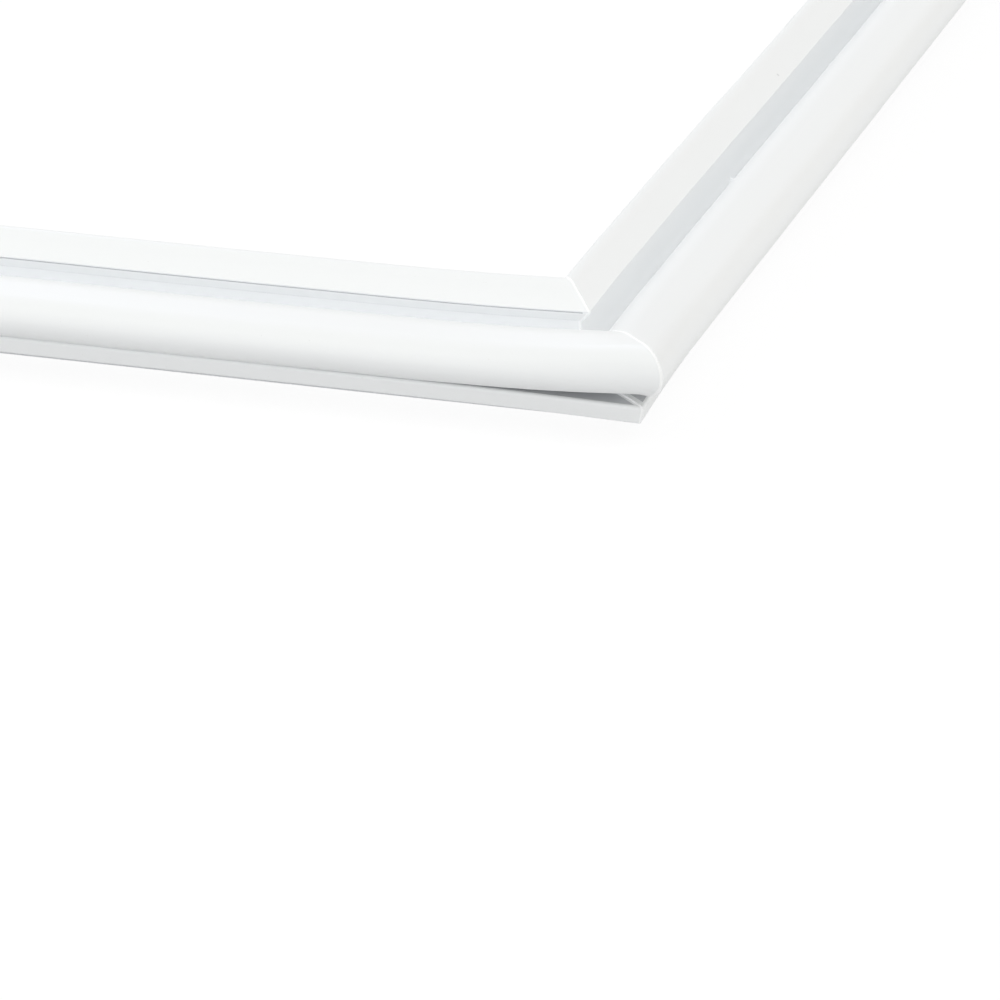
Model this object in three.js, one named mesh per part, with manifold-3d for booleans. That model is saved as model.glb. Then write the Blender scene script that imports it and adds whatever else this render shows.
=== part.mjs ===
// Refrigerator door gasket: a closed frame of soft white PVC, in millimetres, +Z up.
// Four lengths of one extruded section are mitred and heat-welded at the corners.
// Its parts, from the top down: a tilted pocket that holds a magnet strip, a bellows
// under the pocket, an open valley, a hollow outer roll, and a base with two lips
// and a barbed dart that presses into the slot of the door.

import * as THREE from 'three';
import { mergeVertices } from 'three/addons/utils/BufferGeometryUtils.js';
import Module from 'manifold-3d';

const wasm = await Module();
wasm.setup();

// Frame: X across the door, Y along it, measured over the outer rolls at the corners
const frameWidth = 520;
const frameLength = 700;

// Section places: w runs outward from the inner edge of the face, z up from the seat of the lips
const wall = 0.9;

// Magnet pocket: its face slopes down outward from the rounded inner edge
const faceEdgeW = 8.2;
const faceEdgeZ = 19.45;
const faceTilt = THREE.MathUtils.degToRad(40);
const faceLength = 9.3;
const faceRound = 2.0;
const pocketDepth = 4.5;
const pocketWall = 0.8;
const pocketEndWall = 1.3;
const creaseTop = 0.5;
const creaseDepth = 0.5;
const creaseHeight = 0.6;

// Bellows under the pocket: an upright outer web and a pleated inner wall
const webW = 5.1;
const pleatCreaseW = 1.3;
const pleatCreaseZ = 13.4;
const pleatCreaseHeight = 1.0;
const pleatFootZ = 5.0;

// Base plate with a lip turned down at either side
const baseTop = 4.3;
const basePlate = 1.6;
const innerLipW = -2.0;
const lipThickness = 1.3;
const lipLean = 0.7;
const lipRound = 0.7;

// Valley between the web and the roll
const valleyFloorZ = 5.6;

// Slot between the roll and the base, where the roll folds back inward
const slotRootW = 16.5;
const slotHeight = 0.3;

// Dart under the base: a stem with two pairs of barbs
const dartW = 9.5;
const dartDepth = 5.5;
const dartStem = 0.9;
const dartTip = 0.8;
const upperBarb = { reach: 3.0, root: -1.9, tip: -0.7, thickness: 0.4 };
const lowerBarb = { reach: 2.3, root: -3.2, tip: -2.6, thickness: 0.4 };

// Magnet strips lie loose in the pocket and stop short of the welded corners
const magnetPlay = 0.3;
const magnetEndGap = 9;

// Weld bead along each mitre
const beadHeight = 0.3;
const beadHalfWidth = 0.6;

// Breather holes, drilled in each arm at a quarter of its length from the middle
const breatherRadius = 1.0;
const pocketHoleRadius = 0.8;
const breatherPlace = 0.25;

// How the soft section lies: the welded corner holds the roll up and out,
// and away from the corner the roll hangs down on to the base
const cornerPose = {
  rollW: 26.1, rollZ: 13.95, rollRadius: 5.9,
  shoulderW: 21.9, shoulderZ: 8.55, shoulderRadius: 11.3,
  lipW: 25.3, sag: 0,
};
const restPose = {
  rollW: 23.5, rollZ: 10.75, rollRadius: 6.15,
  shoulderW: 19.03, shoulderZ: 10.18, shoulderRadius: 8.0,
  lipW: 23.5, sag: 1,
};
const settleLength = 24;
const settlePower = 1.3;

// How far the pocket of each arm sinks between its corners (it stands up where negative)
const armSag = { front: 1.1, right: -0.8, back: 0.5, left: 0.6 };
const sagFromZ = 8;
const sagFullZ = 15;

// Distances from the mitre at which a section is drawn
const stations = [0, beadHalfWidth, 8, 20, 36, 62];
const roundSteps = 4;
const shoulderSteps = 8;
const rollSteps = 14;
const valleySteps = 6;

// Sizes that follow from the values above
const sectionReach = cornerPose.rollW + cornerPose.rollRadius;
const halfX = frameWidth / 2 - sectionReach;
const halfY = frameLength / 2 - sectionReach;
const baseUnder = baseTop - basePlate;

const white = new THREE.MeshStandardMaterial({ color: 0xf4f7f8, roughness: 0.42, metalness: 0 });
const ferrite = new THREE.MeshStandardMaterial({ color: 0x3b3432, roughness: 0.7, metalness: 0 });

// The four arms in turn round the frame: n points outward and t along the arm
const arms = [
  { name: 'right', n: [1, 0], t: [0, 1], side: halfX, half: halfY },
  { name: 'back', n: [0, 1], t: [-1, 0], side: halfY, half: halfX },
  { name: 'left', n: [-1, 0], t: [0, -1], side: halfX, half: halfY },
  { name: 'front', n: [0, -1], t: [1, 0], side: halfY, half: halfX },
];

// Share of the way from the corner's pose to the rest pose at a distance from the mitre
function settled(distance) {
  return 1 - Math.exp(-((Math.max(distance, 0) / settleLength) ** settlePower));
}

function poseAt(distance) {
  const share = settled(distance);
  const pose = {};
  for (const key of Object.keys(cornerPose)) {
    pose[key] = THREE.MathUtils.lerp(cornerPose[key], restPose[key], share);
  }
  return pose;
}

// Lowers what hangs from the pocket: all of it at the top, nothing at the base
function sunk([w, z], sag) {
  const share = THREE.MathUtils.clamp((z - sagFromZ) / (sagFullZ - sagFromZ), 0, 1);
  return [w, z - sag * share];
}

function arc(centreW, centreZ, radius, from, to, steps) {
  const points = [];
  for (let i = 0; i <= steps; i++) {
    const angle = from + ((to - from) * i) / steps;
    points.push([centreW + radius * Math.cos(angle), centreZ + radius * Math.sin(angle)]);
  }
  return points;
}

// A place on the pocket: along the face from its outer edge, and under the face
function onPocket(along, under) {
  return [
    faceEdgeW - along * Math.cos(faceTilt) - under * Math.sin(faceTilt),
    faceEdgeZ + along * Math.sin(faceTilt) - under * Math.cos(faceTilt),
  ];
}

// Height of the underside of the pocket at a distance w
function pocketUndersideZ(w) {
  const [cornerW, cornerZ] = onPocket(0, pocketDepth);
  return cornerZ + (cornerW - w) * Math.tan(faceTilt);
}

// Face, rounded inner edge and inner end of the pocket, from the outer edge inward
function faceOutline() {
  const points = [onPocket(0, 0)];
  for (let i = 0; i <= roundSteps; i++) {
    const turn = ((Math.PI / 2) * i) / roundSteps;
    points.push(onPocket(
      faceLength - faceRound + faceRound * Math.sin(turn),
      faceRound - faceRound * Math.cos(turn),
    ));
  }
  points.push(onPocket(faceLength, pocketDepth));
  return points;
}

// Pleated inner wall, seen from the opening of the door, from the pocket down to the inner lip
function innerOutline() {
  return [
    [pleatCreaseW, pleatCreaseZ + pleatCreaseHeight / 2],
    [pleatCreaseW, pleatCreaseZ - pleatCreaseHeight / 2],
    [innerLipW, pleatFootZ],
    [innerLipW - lipLean, baseTop - lipRound],
    [innerLipW, 0],
    [innerLipW + lipThickness, 0],
    [innerLipW + lipThickness, baseUnder],
  ];
}

// One flank of the dart from the base down to its tip, at one side of the stem
function dartFlank(side) {
  const at = (reach, z) => [dartW + side * reach, z];
  return [
    at(dartStem, baseUnder),
    at(dartStem, upperBarb.root),
    at(upperBarb.reach, upperBarb.tip),
    at(upperBarb.reach, upperBarb.tip - upperBarb.thickness),
    at(dartStem, lowerBarb.root),
    at(lowerBarb.reach, lowerBarb.tip),
    at(lowerBarb.reach, lowerBarb.tip - lowerBarb.thickness),
    at(dartTip, -dartDepth),
  ];
}

// Outer lip, from the underside of the base round to the slot under the roll
function outerLipOutline(pose) {
  return [
    [pose.lipW - lipThickness, baseUnder],
    [pose.lipW - lipThickness, 0],
    [pose.lipW, 0],
    [pose.lipW + lipLean, baseTop - lipRound],
    [pose.lipW + lipLean * 0.7, baseTop - lipRound * 0.3],
    [pose.lipW, baseTop],
    [slotRootW, baseTop],
  ];
}

// Angle at which a line from the slot's root touches the roll from below
function undersideAngle(pose, rootW, rootZ, radius) {
  const dw = pose.rollW - rootW;
  const dz = pose.rollZ - rootZ;
  const slope = Math.atan2(dz, dw) - Math.asin(radius / Math.hypot(dw, dz));
  return slope - Math.PI / 2;
}

// Angle of the straight stretch that joins the roll to its inner shoulder
function crestAngle(pose) {
  const dw = pose.rollW - pose.shoulderW;
  const dz = pose.rollZ - pose.shoulderZ;
  const lean = Math.asin((pose.shoulderRadius - pose.rollRadius) / Math.hypot(dw, dz));
  return Math.atan2(dz, dw) + Math.PI / 2 - lean;
}

// Skin of the roll from the slot's root, under and over the roll and down the flank.
// The inset draws the same skin on its inside
function rollOutline(pose, rootW, rootZ, inset) {
  const crest = crestAngle(pose);
  const radius = pose.rollRadius - inset;
  const start = undersideAngle(pose, rootW, rootZ, radius);
  const roll = arc(pose.rollW, pose.rollZ, radius, start, crest, rollSteps);
  const shoulder = arc(
    pose.shoulderW, pose.shoulderZ, pose.shoulderRadius - inset, crest, Math.PI, shoulderSteps,
  );
  return [[rootW, rootZ], ...roll, ...shoulder];
}

// Valley floor and web, from the flank of the roll up to the pocket
function valleyOutline(pose) {
  const flankW = pose.shoulderW - pose.shoulderRadius;
  const radius = (flankW - webW) / 2;
  const floor = arc(webW + radius, valleyFloorZ + radius, radius, 0, -Math.PI, valleySteps);
  return [...floor, [webW, pleatCreaseZ], [webW, pocketUndersideZ(webW)]];
}

// Outer side of the pocket, with the crease under the edge of its face
function pocketSideOutline() {
  return [
    onPocket(0, pocketDepth),
    onPocket(0, creaseTop + creaseHeight),
    onPocket(creaseDepth, creaseTop + creaseHeight / 2),
    onPocket(0, creaseTop),
  ];
}

// Whole outline of the section, anticlockwise, with true where the weld leaves its bead
function outerOutline(pose) {
  const beaded = (points) => points.map((point) => ({ point, bead: true }));
  const trimmed = (points) => points.map((point) => ({ point, bead: false }));
  return [
    ...beaded(faceOutline()),
    ...beaded(innerOutline().slice(0, 3)),
    ...trimmed(innerOutline().slice(3)),
    ...trimmed(dartFlank(-1)),
    ...trimmed(dartFlank(1).reverse()),
    ...trimmed(outerLipOutline(pose).slice(0, 3)),
    ...beaded(outerLipOutline(pose).slice(3, 6)),
    ...trimmed(outerLipOutline(pose).slice(6)),
    ...trimmed(rollOutline(pose, slotRootW, baseTop + slotHeight, 0).slice(0, 1)),
    ...beaded(rollOutline(pose, slotRootW, baseTop + slotHeight, 0).slice(1)),
    ...beaded(valleyOutline(pose)),
    ...beaded(pocketSideOutline()),
  ];
}

// Room for the magnet strip, or the strip itself when play is taken off all round
function pocketRoom(play) {
  return [
    onPocket(pocketWall + play, pocketWall + play),
    onPocket(faceLength - pocketEndWall - play, pocketWall + play),
    onPocket(faceLength - pocketEndWall - play, pocketDepth - pocketWall - play),
    onPocket(pocketWall + play, pocketDepth - pocketWall - play),
  ];
}

// Chamber of the bellows, between the pleated wall and the web
function bellowsRoom() {
  const webInside = webW - wall;
  return [
    [webInside, pocketUndersideZ(webInside)],
    onPocket(faceLength - pocketEndWall, pocketDepth),
    [pleatCreaseW + wall, pleatCreaseZ + pleatCreaseHeight / 2],
    [pleatCreaseW + wall, pleatCreaseZ - pleatCreaseHeight / 2],
    [innerLipW + wall, pleatFootZ],
    [innerLipW + wall, baseTop],
    [webInside, baseTop],
    [webInside, pleatCreaseZ],
  ];
}

// Chamber of the roll
function rollRoom(pose) {
  const rootW = slotRootW - wall;
  const flankInside = pose.shoulderW - pose.shoulderRadius + wall;
  return [
    [flankInside, baseTop],
    [rootW, baseTop],
    ...rollOutline(pose, rootW, baseTop + slotHeight + wall, wall),
  ];
}

// Pushes each point of a closed outline out along its own normal
function raised(outline, height) {
  return outline.map(({ point, bead }, i) => {
    if (!bead) return point;
    const before = outline[(i + outline.length - 1) % outline.length].point;
    const after = outline[(i + 1) % outline.length].point;
    const dw = after[0] - before[0];
    const dz = after[1] - before[1];
    const size = Math.hypot(dw, dz);
    return [point[0] + (dz / size) * height, point[1] - (dw / size) * height];
  });
}

// All four outlines of the section at a distance from the mitre
function sectionAt(distance, armName) {
  const pose = poseAt(distance);
  const outer = raised(outerOutline(pose), distance === 0 ? beadHeight : 0);
  const sag = armSag[armName] * pose.sag;
  const sink = (points) => points.map((point) => sunk(point, sag));
  const rooms = [pocketRoom(0), bellowsRoom(), rollRoom(pose)];
  return [sink(outer), ...rooms.map((room) => sink(room).reverse())];
}

// Place in the frame of a section point, at a distance along the arm from its middle
function inArm(arm, w, z, along) {
  const out = arm.side + w;
  return [arm.n[0] * out + arm.t[0] * along, arm.n[1] * out + arm.t[1] * along, z + dartDepth];
}

// Rings of points round the frame: each is one section, sheared parallel to its mitre
function frameRings() {
  const rings = [];
  for (const arm of arms) {
    for (const distance of stations) {
      rings.push(sectionAt(distance, arm.name).map((loop) => loop.map(
        ([w, z]) => inArm(arm, w, z, distance - arm.half - w),
      )));
    }
    for (const distance of stations.slice(1).reverse()) {
      rings.push(sectionAt(distance, arm.name).map((loop) => loop.map(
        ([w, z]) => inArm(arm, w, z, arm.half + w - distance),
      )));
    }
  }
  return rings;
}

// Walls between neighbouring rings of one loop
function joinRings(rings, closed) {
  const count = rings[0].length;
  const faces = [];
  const spans = closed ? rings.length : rings.length - 1;
  for (let r = 0; r < spans; r++) {
    const here = r * count;
    const next = ((r + 1) % rings.length) * count;
    for (let i = 0; i < count; i++) {
      const j = (i + 1) % count;
      faces.push(here + i, next + i, here + j, here + j, next + i, next + j);
    }
  }
  return faces;
}

function meshFrom(points, faces) {
  const geometry = new THREE.BufferGeometry();
  geometry.setAttribute('position', new THREE.Float32BufferAttribute(points.flat(), 3));
  geometry.setIndex(faces);
  return geometry;
}

function solidFrom(geometry) {
  const plain = geometry.clone();
  plain.deleteAttribute('normal');
  plain.deleteAttribute('uv');
  const merged = mergeVertices(plain, 1e-4);
  return new wasm.Manifold(new wasm.Mesh({
    numProp: 3,
    vertProperties: new Float32Array(merged.attributes.position.array),
    triVerts: new Uint32Array(merged.index.array),
  }));
}

function geometryFrom(solid) {
  const { vertProperties, triVerts } = solid.getMesh();
  const geometry = new THREE.BufferGeometry();
  geometry.setAttribute('position', new THREE.BufferAttribute(vertProperties, 3));
  geometry.setIndex(new THREE.BufferAttribute(triVerts, 1));
  geometry.computeVertexNormals();
  return geometry;
}

// Extruded and welded frame, with its three hollow rooms still closed
function closedFrame() {
  const rings = frameRings();
  const points = [];
  const faces = [];
  for (let loop = 0; loop < rings[0].length; loop++) {
    const start = points.length;
    const loopRings = rings.map((ring) => ring[loop]);
    points.push(...loopRings.flat());
    faces.push(...joinRings(loopRings, true).map((index) => index + start));
  }
  return solidFrom(meshFrom(points, faces));
}

// An upright drill at one place of an arm, from one height to another
function drill(arm, w, along, radius, fromZ, toZ) {
  const geometry = new THREE.CylinderGeometry(radius, radius, toZ - fromZ, 10);
  geometry.rotateX(Math.PI / 2);
  geometry.translate(...inArm(arm, w, (fromZ + toZ) / 2, along));
  return solidFrom(geometry);
}

// Breather holes: through the base into both chambers, and through the floor of the pocket
function breathers() {
  const bellowsW = (innerLipW + webW) / 2;
  const rollRoomW = (cornerPose.shoulderW - cornerPose.shoulderRadius + slotRootW) / 2;
  const pocketHoleW = (pleatCreaseW + webW) / 2 - wall;
  const drills = [];
  for (const arm of arms) {
    const sag = armSag[arm.name];
    const along = 2 * arm.half * breatherPlace;
    const pocketFloorZ = pocketUndersideZ(pocketHoleW) - sag;
    for (const place of [-along, along]) {
      drills.push(drill(arm, bellowsW, place, breatherRadius, 0, baseTop + wall));
      drills.push(drill(arm, rollRoomW, place, breatherRadius, 0, baseTop + wall));
    }
    drills.push(drill(
      arm, pocketHoleW, along, pocketHoleRadius,
      pocketFloorZ - 2 * pocketWall, pocketFloorZ + 2.5 * pocketWall,
    ));
  }
  return drills;
}

function gasketFrame() {
  let solid = closedFrame();
  for (const hole of breathers()) {
    solid = solid.subtract(hole);
  }
  const mesh = new THREE.Mesh(geometryFrom(solid), white);
  mesh.name = 'gasket_frame';
  return mesh;
}

// Flexible magnet strip of one arm, cut square at both ends and following the pocket
function magnetStrip(arm) {
  const section = pocketRoom(magnetPlay);
  const end = arm.half - magnetEndGap;
  const places = stations.slice(2).map((distance) => arm.half - distance);
  const along = [end, ...places.filter((place) => place < end - 1)];
  const run = [...along.map((place) => -place), ...along.reverse()];
  const rings = run.map((place) => section.map(([w, z]) => {
    const distance = arm.half + w - Math.abs(place);
    const [sunkW, sunkZ] = sunk([w, z], armSag[arm.name] * settled(distance));
    return inArm(arm, sunkW, sunkZ, place);
  }));
  const faces = joinRings(rings, false);
  const last = (rings.length - 1) * section.length;
  faces.push(0, 1, 2, 0, 2, 3);
  faces.push(last, last + 2, last + 1, last, last + 3, last + 2);
  const geometry = meshFrom(rings.flat(), faces);
  geometry.computeVertexNormals();
  const mesh = new THREE.Mesh(geometry, ferrite);
  mesh.name = `magnet_strip_${arm.name}`;
  return mesh;
}

const gasket = new THREE.Group();
gasket.add(gasketFrame());
for (const arm of arms) {
  gasket.add(magnetStrip(arm));
}

export default gasket;
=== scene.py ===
import math

import bmesh
import bpy
from mathutils import Matrix, Vector, noise


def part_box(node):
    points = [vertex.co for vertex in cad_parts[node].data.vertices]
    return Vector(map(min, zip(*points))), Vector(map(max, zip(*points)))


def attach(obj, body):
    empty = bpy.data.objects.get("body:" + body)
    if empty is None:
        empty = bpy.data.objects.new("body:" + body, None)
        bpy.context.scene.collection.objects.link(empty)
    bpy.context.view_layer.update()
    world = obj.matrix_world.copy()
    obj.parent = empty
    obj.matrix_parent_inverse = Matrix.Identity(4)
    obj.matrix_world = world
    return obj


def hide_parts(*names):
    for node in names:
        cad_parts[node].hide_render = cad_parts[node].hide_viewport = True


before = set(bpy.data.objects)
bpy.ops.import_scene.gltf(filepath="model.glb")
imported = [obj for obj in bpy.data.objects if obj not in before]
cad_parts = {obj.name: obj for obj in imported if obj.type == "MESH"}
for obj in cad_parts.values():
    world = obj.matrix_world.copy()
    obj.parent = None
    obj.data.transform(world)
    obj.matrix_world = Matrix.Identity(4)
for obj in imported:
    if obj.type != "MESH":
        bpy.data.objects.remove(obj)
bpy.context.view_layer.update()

# Gasket frame: four lengths of extruded soft white vinyl, mitred at the corners and heat-welded
# into one closed seal. From the top down: tilted magnet pocket, bellows, open valley, hollow
# outer roll, and a base with two lips and a barbed dart that pushes into the slot of the door.

# The section is drawn in millimetres, as on the drawing of its die: w runs outward from the
# inner edge of the pocket face, and z up from the seat of the lips. r rounds a corner.
MM = 0.001
WALL = 0.9
FACE_EDGE = (8.2, 19.45)
FACE_TILT = math.radians(40)
FACE_LENGTH = 9.3
FACE_ROUND = 2.0
POCKET_DEPTH = 4.5
POCKET_WALL = 0.8
POCKET_END_WALL = 1.3
CREASE_TOP, CREASE_DEPTH, CREASE_HEIGHT = 0.5, 0.5, 0.6
NOTCH_ROUND = 0.5
WEB_W = 5.1
PLEAT_W, PLEAT_Z, PLEAT_HEIGHT, PLEAT_FOOT_Z = 1.3, 13.4, 1.0, 5.0
BASE_TOP = 4.3
BASE_UNDER = 2.7
INNER_LIP_W = -2.0
LIP_THICKNESS, LIP_LEAN, LIP_ROUND = 1.3, 0.7, 0.7
VALLEY_FLOOR_Z = 5.6
SLOT_ROOT_W, SLOT_HEIGHT = 16.5, 0.3
DART_W, DART_DEPTH, DART_STEM, DART_TIP = 9.5, 5.5, 0.9, 0.8
UPPER_BARB = (3.0, -1.9, -0.7)
LOWER_BARB = (2.3, -3.2, -2.6)
BARB_THICKNESS = 0.4
BEAD_HEIGHT, BEAD_HALF_WIDTH = 0.28, 0.42
CREASE_FADE = 2.5
STATION_SPACING = 12
SHARP_ANGLE = math.radians(50)
BREATHER_RADIUS, POCKET_HOLE_RADIUS, BREATHER_PLACE = 1.0, 0.8, 0.25

# A torn sliver of flash stands on the inner shoulder of the right roll
NICK_W, NICK_Z, NICK_ALONG = 13.6, 15.8, -216.4
NICK_OUT = (-0.81, 0.59)
NICK_REACH, NICK_RADIUS, NICK_NARROWING = 1.2, 0.85, 1.2
NICK_STATIONS = (-2, -1.3, -0.8, -0.4, 0, 0.4, 0.8, 1.3, 2)

# The weld holds the roll up and out at a corner, and away from it the roll hangs on the base
CORNER_POSE = dict(roll_w=26.1, roll_z=13.95, roll_r=5.9,
                   shoulder_w=21.9, shoulder_z=8.55, shoulder_r=11.3, lip_w=25.3, sag=0.0)
REST_POSE = dict(roll_w=23.5, roll_z=10.75, roll_r=6.15,
                 shoulder_w=19.03, shoulder_z=10.18, shoulder_r=8.0, lip_w=23.5, sag=1.0)
SETTLE_LENGTH, SETTLE_POWER = 24.0, 1.3
ARM_SAG = dict(front=1.1, right=-0.8, back=0.5, left=0.6)
SAG_FROM_Z, SAG_FULL_Z = 8.0, 15.0
LONG_WAVE, SHORT_WAVE, SHORT_SHARE = 85.0, 28.0, 0.45
POSE_WANDER, SAG_WANDER, SWAY_WANDER = 0.2, 0.25, 0.3

section_reach = CORNER_POSE["roll_w"] + CORNER_POSE["roll_r"]
gasket_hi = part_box("gasket_frame")[1]
HALF_X = round(gasket_hi[0] / MM) - section_reach
HALF_Y = round(gasket_hi[1] / MM) - section_reach

# The sides in turn round the frame: outward normal, run, and half lengths to the face's edge
ARMS = [
    dict(name="right", n=(1, 0), t=(0, 1), side=HALF_X, half=HALF_Y),
    dict(name="back", n=(0, 1), t=(-1, 0), side=HALF_Y, half=HALF_X),
    dict(name="left", n=(-1, 0), t=(0, -1), side=HALF_X, half=HALF_Y),
    dict(name="front", n=(0, -1), t=(1, 0), side=HALF_Y, half=HALF_X),
]


def settled(distance):
    """Share of the way from the corner's pose to the rest pose."""
    return 1 - math.exp(-((max(distance, 0) / SETTLE_LENGTH) ** SETTLE_POWER))


def pose_at(distance):
    share = settled(distance)
    return {key: CORNER_POSE[key] + share * (REST_POSE[key] - CORNER_POSE[key]) for key in CORNER_POSE}


def arc(w, z, radius, start, end, steps):
    turns = [start + (end - start) * i / steps for i in range(steps + 1)]
    return [(w + radius * math.cos(a), z + radius * math.sin(a), 0.0) for a in turns]


def on_pocket(along, under, r=0.0):
    """A place on the pocket: along its face from the outer edge, and under the face."""
    return (FACE_EDGE[0] - along * math.cos(FACE_TILT) - under * math.sin(FACE_TILT),
            FACE_EDGE[1] + along * math.sin(FACE_TILT) - under * math.cos(FACE_TILT), r)


def pocket_underside_z(w):
    corner_w, corner_z, _ = on_pocket(0, POCKET_DEPTH)
    return corner_z + (corner_w - w) * math.tan(FACE_TILT)


def face_outline():
    points = [on_pocket(0, 0, 0.2)]
    for i in range(9):
        turn = math.pi / 2 * i / 8
        points.append(on_pocket(FACE_LENGTH - FACE_ROUND + FACE_ROUND * math.sin(turn),
                                FACE_ROUND - FACE_ROUND * math.cos(turn)))
    return points + [on_pocket(FACE_LENGTH, POCKET_DEPTH, 0.5)]


def inner_outline():
    return [
        (PLEAT_W, PLEAT_Z + PLEAT_HEIGHT / 2, 0.4),
        (PLEAT_W, PLEAT_Z - PLEAT_HEIGHT / 2, 0.4),
        (INNER_LIP_W, PLEAT_FOOT_Z, 0.6),
        (INNER_LIP_W - LIP_LEAN, BASE_TOP - LIP_ROUND, 0.5),
        (INNER_LIP_W, 0, 0.25),
        (INNER_LIP_W + LIP_THICKNESS, 0, 0.25),
        (INNER_LIP_W + LIP_THICKNESS, BASE_UNDER, 0.4),
    ]


def dart_flank(side):
    def at(reach, z, r):
        return (DART_W + side * reach, z, r)

    return [
        at(DART_STEM, BASE_UNDER, 0.4),
        at(DART_STEM, UPPER_BARB[1], 0.15),
        at(UPPER_BARB[0], UPPER_BARB[2], 0.12),
        at(UPPER_BARB[0], UPPER_BARB[2] - BARB_THICKNESS, 0.12),
        at(DART_STEM, LOWER_BARB[1], 0.15),
        at(LOWER_BARB[0], LOWER_BARB[2], 0.12),
        at(LOWER_BARB[0], LOWER_BARB[2] - BARB_THICKNESS, 0.12),
        at(DART_TIP, -DART_DEPTH, 0.2),
    ]


def outer_lip_outline(pose):
    lip_w = pose["lip_w"]
    return [
        (lip_w - LIP_THICKNESS, BASE_UNDER, 0.4),
        (lip_w - LIP_THICKNESS, 0, 0.25),
        (lip_w, 0, 0.3),
        (lip_w + LIP_LEAN, BASE_TOP - LIP_ROUND, 0.5),
        (lip_w + LIP_LEAN * 0.7, BASE_TOP - LIP_ROUND * 0.3, 0.3),
        (lip_w, BASE_TOP, 0.4),
        (SLOT_ROOT_W, BASE_TOP, 0.1),
    ]


def underside_angle(pose, root_w, root_z, radius):
    """Where a line from the root of the slot touches the roll from below."""
    dw, dz = pose["roll_w"] - root_w, pose["roll_z"] - root_z
    return math.atan2(dz, dw) - math.asin(radius / math.hypot(dw, dz)) - math.pi / 2


def crest_angle(pose):
    """Direction of the straight stretch between the roll and its inner shoulder."""
    dw, dz = pose["roll_w"] - pose["shoulder_w"], pose["roll_z"] - pose["shoulder_z"]
    lean = math.asin((pose["shoulder_r"] - pose["roll_r"]) / math.hypot(dw, dz))
    return math.atan2(dz, dw) + math.pi / 2 - lean


def roll_outline(pose, root_w, root_z, inset, roll_steps, shoulder_steps):
    crest = crest_angle(pose)
    radius = pose["roll_r"] - inset
    start = underside_angle(pose, root_w, root_z, radius)
    return ([(root_w, root_z, 0.1)]
            + arc(pose["roll_w"], pose["roll_z"], radius, start, crest, roll_steps)
            + arc(pose["shoulder_w"], pose["shoulder_z"], pose["shoulder_r"] - inset,
                  crest, math.pi, shoulder_steps))


def valley_outline(pose):
    radius = (pose["shoulder_w"] - pose["shoulder_r"] - WEB_W) / 2
    floor = arc(WEB_W + radius, VALLEY_FLOOR_Z + radius, radius, 0, -math.pi, 12)
    return floor + [(WEB_W, PLEAT_Z, 0.0), (WEB_W, pocket_underside_z(WEB_W), 0.15)]


def pocket_side_outline(crease):
    return [
        on_pocket(0, POCKET_DEPTH, NOTCH_ROUND),
        on_pocket(0, CREASE_TOP + CREASE_HEIGHT, 0.15),
        on_pocket(crease, CREASE_TOP + CREASE_HEIGHT / 2, 0.1),
        on_pocket(0, CREASE_TOP, 0.12),
    ]


def in_crease(w, z):
    """Whether a place lies in the crease under the face, or on the turn under the pocket: these places
    get painted shade.
    """
    out, up = FACE_EDGE[0] - w, z - FACE_EDGE[1]
    along = out * math.cos(FACE_TILT) + up * math.sin(FACE_TILT)
    under = out * math.sin(FACE_TILT) - up * math.cos(FACE_TILT)
    groove = 0.08 < along < CREASE_DEPTH and CREASE_TOP - 0.1 < under < CREASE_TOP + CREASE_HEIGHT + 0.1
    notch = w > WEB_W + 0.02 and POCKET_DEPTH - NOTCH_ROUND < under < POCKET_DEPTH + 0.3
    return groove or notch


def rounded(corners):
    """A closed outline with each corner that has a radius replaced by a short arc."""
    points = []
    for i, (w, z, r) in enumerate(corners):
        if not r:
            points.append(Vector((w, z)))
            continue
        here = Vector((w, z))
        before = Vector(corners[i - 1][:2]) - here
        after = Vector(corners[(i + 1) % len(corners)][:2]) - here
        reach = min(r, 0.45 * before.length, 0.45 * after.length)
        start, end = here + before.normalized() * reach, here + after.normalized() * reach
        for k in range(4):
            f = k / 3
            points.append(start * (1 - f) ** 2 + here * 2 * f * (1 - f) + end * f ** 2)
    return points


def outer_corners(pose, crease=CREASE_DEPTH):
    return (face_outline() + inner_outline() + dart_flank(-1) + dart_flank(1)[::-1]
            + outer_lip_outline(pose)
            + roll_outline(pose, SLOT_ROOT_W, BASE_TOP + SLOT_HEIGHT, 0, 30, 16)
            + valley_outline(pose) + pocket_side_outline(crease))


def pocket_room():
    far, low = FACE_LENGTH - POCKET_END_WALL, POCKET_DEPTH - POCKET_WALL
    return [on_pocket(POCKET_WALL, POCKET_WALL, 0.2), on_pocket(far, POCKET_WALL, 0.2),
            on_pocket(far, low, 0.2), on_pocket(POCKET_WALL, low, 0.2)]


def bellows_room():
    web_inside = WEB_W - WALL
    return [
        (web_inside, pocket_underside_z(web_inside), 0.3),
        on_pocket(FACE_LENGTH - POCKET_END_WALL, POCKET_DEPTH, 0.3),
        (PLEAT_W + WALL, PLEAT_Z + PLEAT_HEIGHT / 2, 0.4),
        (PLEAT_W + WALL, PLEAT_Z - PLEAT_HEIGHT / 2, 0.4),
        (INNER_LIP_W + WALL, PLEAT_FOOT_Z, 0.2),
        (INNER_LIP_W + WALL, BASE_TOP, 0.2),
        (web_inside, BASE_TOP, 0.3),
        (web_inside, PLEAT_Z, 0.0),
    ]


def roll_room(pose):
    root_w = SLOT_ROOT_W - WALL
    flank_inside = pose["shoulder_w"] - pose["shoulder_r"] + WALL
    return ([(flank_inside, BASE_TOP, 0.3), (root_w, BASE_TOP, 0.1)]
            + roll_outline(pose, root_w, BASE_TOP + SLOT_HEIGHT + WALL, WALL, 20, 10))


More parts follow.
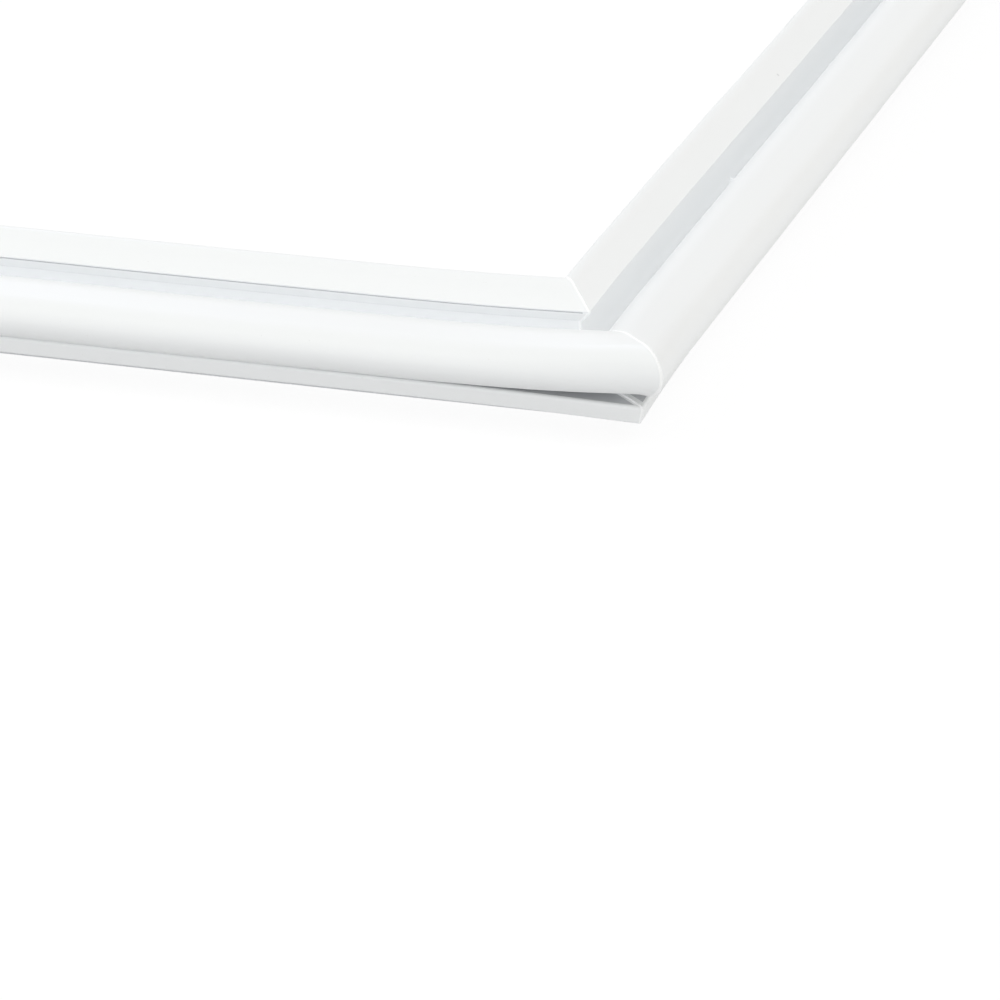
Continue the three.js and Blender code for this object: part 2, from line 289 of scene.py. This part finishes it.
def beaded(points, height):
    """The outline pushed out along its own normals, except under the base."""
    raised = []
    for i, here in enumerate(points):
        run = points[(i + 1) % len(points)] - points[i - 1]
        out = Vector((run.y, -run.x)).normalized()
        free = 0.0 if here.y < BASE_UNDER + 0.2 else 1.0
        uneven = 1 + 0.5 * noise.noise(Vector((here.x * 0.6, here.y * 0.6, 1.3)))
        raised.append(here + out * height * free * uneven)
    return raised


def weld_height(distance):
    """Height of the weld bead at a distance from the mitre."""
    if distance >= BEAD_HALF_WIDTH:
        return 0.0
    return BEAD_HEIGHT * math.cos(math.pi / 2 * distance / BEAD_HALF_WIDTH) ** 3


def wander(arm, along, seed):
    """Slow wander of a soft length that isn't held straight, from -1 to 1."""
    slow = noise.noise(Vector((along / LONG_WAVE, seed, ARMS.index(arm) * 5.3)))
    short = noise.noise(Vector((along / SHORT_WAVE, seed + 7.1, ARMS.index(arm) * 5.3)))
    return slow + SHORT_SHARE * short


def nicked(points, along_start):
    """The torn sliver: points near it are drawn out from the shoulder to a ragged tip."""
    nick = Vector((NICK_W, NICK_Z))
    out = Vector(NICK_OUT)
    moved = []
    for here in points:
        past = along_start - here.x - NICK_ALONG
        spread = ((here - nick).length ** 2 + (NICK_NARROWING * past) ** 2) / NICK_RADIUS ** 2
        moved.append(here + out * NICK_REACH * math.exp(-spread))
    return moved


def section_at(arm, distance, along):
    """All four outlines at a distance from the mitre, outer one first, in millimetres."""
    pose = pose_at(distance)
    share = settled(distance)
    pose["roll_z"] += POSE_WANDER * share * wander(arm, along, 1.0)
    pose["shoulder_z"] += POSE_WANDER * share * wander(arm, along, 2.0)
    pose["lip_w"] += POSE_WANDER * share * wander(arm, along, 3.0)
    sag = ARM_SAG[arm["name"]] * pose["sag"] + SAG_WANDER * share * wander(arm, along, 4.0)
    sway = SWAY_WANDER * share * wander(arm, along, 5.0)
    outer = rounded(outer_corners(pose, CREASE_DEPTH * min(1.0, distance / CREASE_FADE)))
    height = weld_height(distance)
    if height:
        outer = beaded(outer, height)
    if arm["name"] == "right" and abs(along - NICK_ALONG - NICK_W) < 4:
        outer = nicked(outer, along)
    loops = [outer] + [rounded(room)[::-1] for room in (pocket_room(), bellows_room(), roll_room(pose))]
    for loop in loops:
        for point in loop:
            rise = (point.y - SAG_FROM_Z) / (SAG_FULL_Z - SAG_FROM_Z)
            point.y -= sag * min(max(rise, 0.0), 1.0)
            point.x += sway * min(max(rise, 0.0), 1.0)
    return loops


def in_arm(arm, w, z, along):
    """A section point at a distance along the side from its middle, in metres."""
    out = arm["side"] + w
    return Vector((arm["n"][0] * out + arm["t"][0] * along,
                   arm["n"][1] * out + arm["t"][1] * along, z + DART_DEPTH)) * MM


def station_distances(half):
    """Distances from the mitre of the drawn sections, close at the weld and even beyond."""
    near = [0, 0.08, 0.17, 0.28, BEAD_HALF_WIDTH, 1.2, CREASE_FADE, 4.5, 7, 10, 13.5, 17.5, 22, 27,
            33, 40, 48, 57, 67]
    even = int((half - near[-1]) // STATION_SPACING)
    return near + [near[-1] + (half - near[-1]) * i / even for i in range(1, even)]


def nick_distances(half):
    """Sections close together where the sliver stands."""
    middle = half + NICK_W + NICK_ALONG
    return [middle + step * NICK_RADIUS for step in NICK_STATIONS]


def frame_rings():
    """Rings of points round the frame: (arm name, distance from the mitre, loops)."""
    rings = []
    for arm in ARMS:
        distances = station_distances(arm["half"])
        first = distances
        if arm["name"] == "right":
            extra = nick_distances(arm["half"])
            first = sorted([d for d in distances if not extra[0] - 1 < d < extra[-1] + 1] + extra)
        ends = [(d, -1) for d in first] + [(d, 1) for d in distances[:0:-1]]
        for distance, end in ends:
            loops = section_at(arm, distance, end * (arm["half"] - distance))
            rings.append((arm["name"], distance, [
                [in_arm(arm, p.x, p.y, end * (arm["half"] + p.x - distance)) for p in loop]
                for loop in loops]))
    return rings


def breather_drills():
    """All breather drills as one mesh: into both chambers and the pocket of each side."""
    roll_room_w = (CORNER_POSE["shoulder_w"] - CORNER_POSE["shoulder_r"] + SLOT_ROOT_W) / 2
    pocket_w = (PLEAT_W + WEB_W) / 2 - WALL
    drills = bmesh.new()

    def drill(arm, w, along, radius, low, high):
        place = Matrix.Translation(in_arm(arm, w, (low + high) / 2, along))
        bmesh.ops.create_cone(
            drills, cap_ends=True, segments=20, radius1=radius * MM, radius2=radius * MM,
            depth=(high - low) * MM, matrix=place)

    for arm in ARMS:
        place = 2 * arm["half"] * BREATHER_PLACE
        for along in (-place, place):
            drill(arm, (INNER_LIP_W + WEB_W) / 2, along, BREATHER_RADIUS, 0, BASE_TOP + WALL)
            drill(arm, roll_room_w, along, BREATHER_RADIUS, 0, BASE_TOP + WALL)
        floor_z = pocket_underside_z(pocket_w) - ARM_SAG[arm["name"]]
        drill(arm, pocket_w, place, POCKET_HOLE_RADIUS,
              floor_z - 2 * POCKET_WALL, floor_z + 2.5 * POCKET_WALL)
    mesh = bpy.data.meshes.new("breather_drills")
    drills.to_mesh(mesh)
    drills.free()
    return bpy.data.objects.new("breather_drills", mesh)


def drill_breathers(piece):
    """Cuts the breather holes, then keeps the result as the piece's own mesh."""
    drills = breather_drills()
    bpy.context.scene.collection.objects.link(drills)
    cut = piece.modifiers.new("breather_holes", "BOOLEAN")
    cut.operation = "DIFFERENCE"
    cut.object = drills
    cut.solver = "EXACT"
    bpy.context.view_layer.update()
    holed = bpy.data.meshes.new_from_object(
        piece.evaluated_get(bpy.context.evaluated_depsgraph_get()))
    piece.modifiers.clear()
    piece.data = holed
    bpy.data.objects.remove(drills)


def build_gasket():
    rings = frame_rings()
    section = rounded(outer_corners(REST_POSE))
    middles = [(section[i] + section[(i + 1) % len(section)]) / 2 for i in range(len(section))]
    painted_shade_mask = [in_crease(middle.x, middle.y) for middle in middles]
    points, faces, kinds = [], [], []
    for loop in range(4):
        count = len(rings[0][2][loop])
        start = len(points)
        for _, _, loops in rings:
            points.extend(loops[loop])
        for r, (name, distance, _) in enumerate(rings):
            following = (r + 1) % len(rings)
            here, there = start + r * count, start + following * count
            in_weld = max(distance, rings[following][1]) <= BEAD_HALF_WIDTH
            for i in range(count):
                j = (i + 1) % count
                faces.append((here + i, there + i, there + j, here + j))
                if in_weld:
                    kinds.append(2)
                # Faces in the crease and on the turn under the pocket get the material with painted
                # shade
                elif loop == 0 and painted_shade_mask[i] and distance >= CREASE_FADE:
                    kinds.append(3)
                else:
                    kinds.append(int(name in ("front", "back")))
    mesh = bpy.data.meshes.new("gasket_frame_vinyl")
    mesh.from_pydata(points, [], faces)
    mesh.update()
    mesh.polygons.foreach_set("material_index", kinds)
    mesh.polygons.foreach_set("use_smooth", [True] * len(faces))
    mesh.set_sharp_from_angle(angle=SHARP_ANGLE)
    gasket = bpy.data.objects.new("gasket_frame_vinyl", mesh)
    bpy.context.scene.collection.objects.link(gasket)
    for _ in range(4):
        gasket.data.materials.append(None)
    drill_breathers(gasket)
    flat = gasket.modifiers.new("flat_faces", "WEIGHTED_NORMAL")
    flat.keep_sharp = True
    return gasket


gasket = build_gasket()


# Extrusion grain: faint lines that the die draws along each length, finer than the eye
# resolves from a step away, and the slow unevenness of the cooled skin between them.
def new_group(name, inputs, outputs):
    """A shader node group with named number or colour sockets, and its two end nodes."""
    group = bpy.data.node_groups.new(name, "ShaderNodeTree")
    for socket, kind, value in inputs:
        made = group.interface.new_socket(name=socket, in_out="INPUT", socket_type=kind)
        if value is not None:
            made.default_value = value
    for socket, kind in outputs:
        group.interface.new_socket(name=socket, in_out="OUTPUT", socket_type=kind)
    return group, group.nodes.new("NodeGroupInput"), group.nodes.new("NodeGroupOutput")


def calculate(tree, operation, *values):
    """A Math node whose inputs are sockets or plain numbers."""
    node = tree.nodes.new("ShaderNodeMath")
    node.operation = operation
    for i, value in enumerate(values):
        if isinstance(value, (int, float)):
            node.inputs[i].default_value = value
        else:
            tree.links.new(value, node.inputs[i])
    return node.outputs[0]


def noise_on(tree, vector, scale, detail=2.0, roughness=0.5):
    node = tree.nodes.new("ShaderNodeTexNoise")
    tree.links.new(vector, node.inputs["Vector"])
    node.inputs["Scale"].default_value = scale
    node.inputs["Detail"].default_value = detail
    node.inputs["Roughness"].default_value = roughness
    return node.outputs["Fac"]


def extrusion_grain_group():
    group, given, out = new_group(
        "extrusion_grain",
        [("Position", "NodeSocketVector", None), ("Stretch", "NodeSocketVector", (1, 1, 1)),
         ("Depth", "NodeSocketFloat", 1.0)],
        [("Height", "NodeSocketFloat"), ("Unevenness", "NodeSocketFloat")])
    stretched = group.nodes.new("ShaderNodeVectorMath")
    stretched.operation = "MULTIPLY"
    group.links.new(given.outputs["Position"], stretched.inputs[0])
    group.links.new(given.outputs["Stretch"], stretched.inputs[1])
    lines = noise_on(group, stretched.outputs[0], 1400, 3.0)
    skin = noise_on(group, stretched.outputs[0], 160, 2.0)
    both = calculate(group, "MULTIPLY_ADD", skin, 0.7, lines)
    group.links.new(calculate(group, "MULTIPLY", both, given.outputs["Depth"]), out.inputs["Height"])
    group.links.new(skin, out.inputs["Unevenness"])
    return group


extrusion_grain = extrusion_grain_group()


# Handling marks: the dull smudges and the fine dust that soft vinyl picks up in a parts bag.
def handling_marks_group():
    group, given, out = new_group(
        "handling_marks",
        [("Position", "NodeSocketVector", None), ("Amount", "NodeSocketFloat", 0.5)],
        [("Smudge", "NodeSocketFloat"), ("Dust", "NodeSocketFloat")])
    smudge = noise_on(group, given.outputs["Position"], 38, 4.0, 0.6)
    patchy = calculate(group, "SMOOTH_MIN", calculate(group, "POWER", smudge, 3.0), 0.5, 0.1)
    group.links.new(calculate(group, "MULTIPLY", patchy, given.outputs["Amount"]), out.inputs["Smudge"])
    specks = noise_on(group, given.outputs["Position"], 2600, 1.0)
    dust = calculate(group, "GREATER_THAN", specks, 0.79)
    group.links.new(calculate(group, "MULTIPLY", dust, given.outputs["Amount"]), out.inputs["Dust"])
    return group


handling_marks = handling_marks_group()

# White vinyl: plasticised PVC with a chalk and titanium white filler, satin from the die.
# The grain runs along X on two sides and along Y on the others, so it takes one material for
# each way, and a third for the crease and the turn under the pocket, greyer with painted shade.
VINYL_WHITE = (0.950, 0.960, 0.960, 1)
VINYL_SHADE = (0.930, 0.942, 0.945, 1)
# Painted shade: greyer vinyl in the crease and on the turn under the pocket, for their shaded roots
CREASE_PAINTED_SHADE = (0.62, 0.63, 0.64, 1)
CREASE_PAINTED_SHADE_DARK = (0.56, 0.57, 0.59, 1)
DUST_GREY = (0.62, 0.61, 0.58, 1)
GRAIN_ALONG, GRAIN_ACROSS = 0.012, 1.0
GRAIN_BUMP, BUMP_DISTANCE = 0.08, 0.0002
VINYL_ROUGHNESS, SMUDGE_DULLING = 0.40, 0.3
SPECK_AT, SPECK_RADIUS = (234.4, -143.1, 27.25), 0.45
SPECK_GREY = (0.75, 0.76, 0.76, 1)


def place_group(tree, group, **values):
    node = tree.nodes.new("ShaderNodeGroup")
    node.node_tree = group
    for name, value in values.items():
        node.inputs[name].default_value = value
    return node


def mix_colours(tree, share, first, second):
    """A Mix node on colours, each a socket or a plain colour."""
    node = tree.nodes.new("ShaderNodeMix")
    node.data_type = "RGBA"
    tree.links.new(share, node.inputs["Factor"])
    for socket, colour in ((node.inputs[6], first), (node.inputs[7], second)):
        if isinstance(colour, tuple):
            socket.default_value = colour
        else:
            tree.links.new(colour, socket)
    return node.outputs[2]


def bumped(tree, height, strength, distance):
    node = tree.nodes.new("ShaderNodeBump")
    node.inputs["Strength"].default_value = strength
    node.inputs["Distance"].default_value = distance
    tree.links.new(height, node.inputs["Height"])
    return node.outputs["Normal"]


def new_material(name, colour, roughness):
    material = bpy.data.materials.new(name)
    material.use_nodes = True
    material.diffuse_color = colour
    tree = material.node_tree
    shader = tree.nodes["Principled BSDF"]
    shader.inputs["Base Color"].default_value = colour
    shader.inputs["Roughness"].default_value = roughness
    shader.inputs["IOR"].default_value = 1.52
    position = tree.nodes.new("ShaderNodeTexCoord").outputs["Object"]
    return material, tree, shader, position


def speck_mask(tree, position):
    """One grey fleck of dirt, moulded into the face of the right side."""
    away = tree.nodes.new("ShaderNodeVectorMath")
    away.operation = "DISTANCE"
    away.inputs[1].default_value = Vector(SPECK_AT) * MM
    tree.links.new(position, away.inputs[0])
    return calculate(tree, "LESS_THAN", away.outputs["Value"], SPECK_RADIUS * MM)


def vinyl_material(name, stretch, light=VINYL_WHITE, shade=VINYL_SHADE):
    material, tree, shader, position = new_material(name, light, VINYL_ROUGHNESS)
    grain = place_group(tree, extrusion_grain, Stretch=stretch, Depth=1.0)
    marks = place_group(tree, handling_marks, Amount=0.35)
    for group in (grain, marks):
        tree.links.new(position, group.inputs["Position"])
    tone = mix_colours(tree, grain.outputs["Unevenness"], light, shade)
    dusty = mix_colours(tree, marks.outputs["Dust"], tone, DUST_GREY)
    flecked = mix_colours(tree, speck_mask(tree, position), dusty, SPECK_GREY)
    tree.links.new(flecked, shader.inputs["Base Color"])
    rough = calculate(tree, "MULTIPLY_ADD", marks.outputs["Smudge"], SMUDGE_DULLING, VINYL_ROUGHNESS)
    tree.links.new(rough, shader.inputs["Roughness"])
    bump = bumped(tree, grain.outputs["Height"], GRAIN_BUMP, BUMP_DISTANCE)
    tree.links.new(bump, shader.inputs["Normal"])
    return material


ALONG_Y = (GRAIN_ACROSS, GRAIN_ALONG, GRAIN_ACROSS)
ALONG_X = (GRAIN_ALONG, GRAIN_ACROSS, GRAIN_ACROSS)
gasket.data.materials[0] = vinyl_material("white_vinyl_along_y", ALONG_Y)
gasket.data.materials[1] = vinyl_material("white_vinyl_along_x", ALONG_X)
# Slot 3: vinyl darkened with painted shade, for the crease and the turn under the pocket
gasket.data.materials[3] = vinyl_material("vinyl_with_painted_crease_shade", ALONG_X, CREASE_PAINTED_SHADE, CREASE_PAINTED_SHADE_DARK)

# Weld bead: the clean vinyl that the hot plate squeezes out along each mitre. It is whiter
# and glossier than the extruded skin, with a slightly lumpy crest, and so thin that light
# from its far side comes through it. A faint glow of painted light stands for that.
BEAD_WHITE = (0.985, 0.988, 0.988, 1)
BEAD_PAINTED_GLOW = 0.08
BEAD_ROUGHNESS, BEAD_BUMP = 0.25, 0.3


def weld_material():
    material, tree, shader, position = new_material("weld_bead", BEAD_WHITE, BEAD_ROUGHNESS)
    # Painted light: the bead glows faintly by itself, brighter than the lamps alone light it
    shader.inputs["Emission Color"].default_value = BEAD_WHITE
    shader.inputs["Emission Strength"].default_value = BEAD_PAINTED_GLOW
    marks = place_group(tree, handling_marks, Amount=0.15)
    tree.links.new(position, marks.inputs["Position"])
    tree.links.new(mix_colours(tree, marks.outputs["Dust"], BEAD_WHITE, DUST_GREY),
                   shader.inputs["Base Color"])
    lumps = noise_on(tree, position, 900, 2.0)
    tree.links.new(bumped(tree, lumps, BEAD_BUMP, BUMP_DISTANCE), shader.inputs["Normal"])
    return material


gasket.data.materials[2] = weld_material()

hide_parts("gasket_frame")
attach(gasket, "root")

# Magnet strips: calendered rubber filled with ferrite powder, slit to width and pushed into
# the pocket of each side before the corners are welded. They keep their CAD solids.
FERRITE = (0.045, 0.038, 0.036, 1)
FERRITE_DUST = (0.11, 0.10, 0.095, 1)
FERRITE_ROUGHNESS, FERRITE_DULLING, FERRITE_BUMP = 0.6, 0.2, 0.2


def ferrite_material(name, stretch):
    material, tree, shader, position = new_material(name, FERRITE, FERRITE_ROUGHNESS)
    grain = place_group(tree, extrusion_grain, Stretch=stretch, Depth=0.6)
    marks = place_group(tree, handling_marks, Amount=0.8)
    for group in (grain, marks):
        tree.links.new(position, group.inputs["Position"])
    tone = mix_colours(tree, grain.outputs["Unevenness"], FERRITE, FERRITE_DUST)
    tree.links.new(tone, shader.inputs["Base Color"])
    rough = calculate(tree, "MULTIPLY_ADD", marks.outputs["Smudge"], FERRITE_DULLING, FERRITE_ROUGHNESS)
    tree.links.new(rough, shader.inputs["Roughness"])
    bump = bumped(tree, grain.outputs["Height"], FERRITE_BUMP, BUMP_DISTANCE)
    tree.links.new(bump, shader.inputs["Normal"])
    return material


ferrite_y = ferrite_material("ferrite_along_y", ALONG_Y)
ferrite_x = ferrite_material("ferrite_along_x", ALONG_X)
for arm in ARMS:
    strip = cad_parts["magnet_strip_" + arm["name"]]
    strip.data.materials.clear()
    strip.data.materials.append(ferrite_y if arm["n"][0] else ferrite_x)

# Floor: a plain white table top. It shows white to the camera and keeps the soft shadow.
FLOOR_SIZE = 12.0
FLOOR_BOUNCE = (0.60, 0.60, 0.60, 1)
FLOOR_GLOW, FLOOR_SHADE = 0.93, 0.10


def floor_material():
    material = bpy.data.materials.new("white_floor")
    material.use_nodes = True
    tree = material.node_tree
    tree.nodes.clear()
    out = tree.nodes.new("ShaderNodeOutputMaterial")
    bounce = tree.nodes.new("ShaderNodeBsdfDiffuse")
    bounce.inputs["Color"].default_value = FLOOR_BOUNCE
    shade = tree.nodes.new("ShaderNodeBsdfDiffuse")
    shade.inputs["Color"].default_value = (FLOOR_SHADE, FLOOR_SHADE, FLOOR_SHADE, 1)
    glow = tree.nodes.new("ShaderNodeEmission")
    glow.inputs["Strength"].default_value = FLOOR_GLOW
    shown = tree.nodes.new("ShaderNodeAddShader")
    tree.links.new(shade.outputs[0], shown.inputs[0])
    tree.links.new(glow.outputs[0], shown.inputs[1])
    path = tree.nodes.new("ShaderNodeLightPath")
    seen = calculate(tree, "MAXIMUM", path.outputs["Is Camera Ray"], path.outputs["Is Glossy Ray"])
    seen = calculate(tree, "MAXIMUM", seen, path.outputs["Is Transmission Ray"])
    choice = tree.nodes.new("ShaderNodeMixShader")
    tree.links.new(seen, choice.inputs[0])
    tree.links.new(bounce.outputs[0], choice.inputs[1])
    tree.links.new(shown.outputs[0], choice.inputs[2])
    tree.links.new(choice.outputs[0], out.inputs["Surface"])
    return material


def floor_plane():
    half = FLOOR_SIZE / 2
    mesh = bpy.data.meshes.new("floor")
    mesh.from_pydata([(-half, -half, 0), (half, -half, 0), (half, half, 0), (-half, half, 0)],
                     [], [(0, 1, 2, 3)])
    mesh.materials.append(floor_material())
    floor = bpy.data.objects.new("floor", mesh)
    bpy.context.scene.collection.objects.link(floor)


floor_plane()

# Light: an even white room, a cool window behind to the left, three weaker softboxes,
# and two white cards low down beside the camera, as in a product photo on white.
ROOM_LIGHT = 0.6
ROOM_TINT = (1.0, 0.985, 0.92, 1)
LIGHT_AIM = (0.1, -0.3, 0)


def room_world():
    world = bpy.data.worlds.new("white_room")
    bpy.context.scene.world = world
    world.use_nodes = True
    tree = world.node_tree
    background = tree.nodes["Background"]
    path = tree.nodes.new("ShaderNodeLightPath")
    seen = calculate(tree, "MAXIMUM", path.outputs["Is Camera Ray"], path.outputs["Is Glossy Ray"])
    seen = calculate(tree, "MAXIMUM", seen, path.outputs["Is Transmission Ray"])
    strength = calculate(tree, "MULTIPLY_ADD", seen, 1.0 - ROOM_LIGHT, ROOM_LIGHT)
    tree.links.new(strength, background.inputs["Strength"])
    tint = mix_colours(tree, seen, ROOM_TINT, (1, 1, 1, 1))
    tree.links.new(tint, background.inputs["Color"])


def add_lamp(name, kind, power, tint, place, direction):
    light = bpy.data.lights.new(name, kind)
    light.energy = power
    light.color = tint
    lamp = bpy.data.objects.new(name, light)
    lamp.location = place
    lamp.rotation_mode = "QUATERNION"
    lamp.rotation_quaternion = Vector(direction).to_track_quat("-Z", "Y")
    bpy.context.scene.collection.objects.link(lamp)
    return light


def softbox(name, place, size, power, tint):
    aim = Vector(LIGHT_AIM) - Vector(place)
    light = add_lamp(name, "AREA", power, tint, place, aim)
    light.shape = "DISK"
    light.size = size


def fill_card(name, direction, power, tint):
    """A white card beside the camera: even light from low down that throws no shadow."""
    light = add_lamp(name, "SUN", power, tint, (0, 0, 1), direction)
    light.use_shadow = False


room_world()
softbox("front_softbox", (-1.2, -2.2, 2.4), 1.2, 6.8, (0.84, 0.90, 1.0))
softbox("side_softbox", (2.1, -0.6, 2.6), 1.2, 13.5, (0.92, 0.91, 1.0))
softbox("left_softbox", (-2.2, -0.6, 2.4), 1.2, 12.5, (0.90, 0.97, 0.86))
softbox("window", (-1.8, 1.6, 2.4), 1.2, 24.5, (0.75, 0.78, 1.0))
fill_card("front_card", (-0.2, 0.96, -0.18), 0.69, (0.90, 0.92, 1.0))
fill_card("side_card", (-0.95, 0.26, 0.08), 0.52, (0.96, 0.98, 1.0))

# Camera: at the photo's angle, on the frame's front right corner, with its long lens. The
# photo's frame is square, and the point aimed at is the middle of it.
CAMERA_AZIMUTH, CAMERA_ELEVATION = math.radians(16.908), math.radians(21.733)
CAMERA_FROM_CORNER = Vector((335.6, -1156.4, 424.4)) * MM
FOCAL_PIXELS, FRAME_PIXELS = 5500, 1000
SENSOR_MM = 36.0
FACE_TOP_Z = 24.3


def photo_camera():
    camera = bpy.data.objects.new("camera", bpy.data.cameras.new("camera"))
    camera.data.sensor_width = SENSOR_MM
    camera.data.lens = SENSOR_MM * FOCAL_PIXELS / FRAME_PIXELS
    camera.data.clip_start, camera.data.clip_end = 0.05, 50
    corner = Vector((HALF_X, -HALF_Y, FACE_TOP_Z + DART_DEPTH)) * MM
    camera.location = corner + CAMERA_FROM_CORNER
    looking = Vector((-math.sin(CAMERA_AZIMUTH) * math.cos(CAMERA_ELEVATION),
                      math.cos(CAMERA_AZIMUTH) * math.cos(CAMERA_ELEVATION),
                      -math.sin(CAMERA_ELEVATION)))
    camera.rotation_mode = "QUATERNION"
    camera.rotation_quaternion = looking.to_track_quat("-Z", "Y")
    bpy.context.scene.collection.objects.link(camera)
    bpy.context.scene.camera = camera


photo_camera()
bpy.context.scene.view_settings.view_transform = "Standard"
